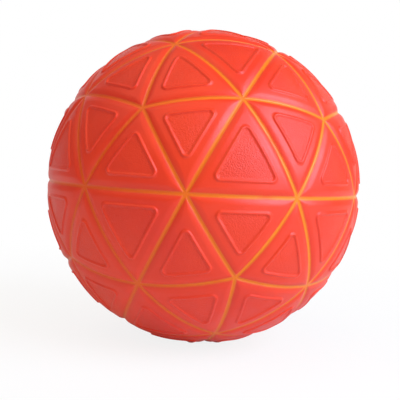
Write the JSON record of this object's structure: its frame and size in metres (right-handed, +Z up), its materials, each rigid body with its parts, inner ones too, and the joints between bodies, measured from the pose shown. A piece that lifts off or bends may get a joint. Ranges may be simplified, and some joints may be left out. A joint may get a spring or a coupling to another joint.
{
  "type": "handball",
  "caption": "Hollow rubber handball with raised triangular cover panels, coloured seam strips, an inner wound bladder and a needle valve with a pull-out core.",
  "frame": {"origin": "centre of the ball", "axes": "+Z up through a point where five panels meet; the valve faces +Y, a little below level"},
  "size_m": [0.1744, 0.1754, 0.1744],
  "materials": {
    "cover_rubber": "satin moulded",
    "seam_rubber": "satin",
    "carcass_rubber": "matte",
    "thread": "wound",
    "bladder_rubber": "matte",
    "valve_rubber": "matte",
    "core_rubber": "matte"
  },
  "bodies": {
    "ball": {"top_rosette": "cover_rubber", "bottom_rosette": "cover_rubber", "upper_rosette_1": "cover_rubber", "upper_rosette_2": "cover_rubber", "upper_rosette_3": "cover_rubber", "upper_rosette_4": "cover_rubber", "upper_rosette_5": "cover_rubber", "lower_rosette_1": "cover_rubber", "lower_rosette_2": "cover_rubber", "lower_rosette_3": "cover_rubber", "lower_rosette_4": "cover_rubber", "lower_rosette_5": "cover_rubber", "top_centre_panel_1": "cover_rubber", "top_centre_panel_2": "cover_rubber", "top_centre_panel_3": "cover_rubber", "top_centre_panel_4": "cover_rubber", "top_centre_panel_5": "cover_rubber", "upper_centre_panel_1": "cover_rubber", "upper_centre_panel_2": "cover_rubber", "upper_centre_panel_3": "cover_rubber", "upper_centre_panel_4": "cover_rubber", "upper_centre_panel_5": "cover_rubber", "lower_centre_panel_1": "cover_rubber", "lower_centre_panel_2": "cover_rubber", "lower_centre_panel_4": "cover_rubber", "lower_centre_panel_5": "cover_rubber", "bottom_centre_panel_1": "cover_rubber", "bottom_centre_panel_2": "cover_rubber", "bottom_centre_panel_3": "cover_rubber", "bottom_centre_panel_4": "cover_rubber", "bottom_centre_panel_5": "cover_rubber", "valve_panel": "cover_rubber", "seam_lattice": "seam_rubber", "bladder": "bladder_rubber", "valve_patch": "bladder_rubber", "winding": "thread", "carcass_upper": "carcass_rubber", "carcass_lower": "carcass_rubber", "valve_body": "valve_rubber"},
    "valve_core": {"valve_core": "core_rubber"}
  },
  "joints": [
    {"name": "core_pull", "type": "slide", "parent": "ball", "child": "valve_core", "axis": [0, 0.9822, -0.1876], "range_m": [0, 0.017]}
  ]
}
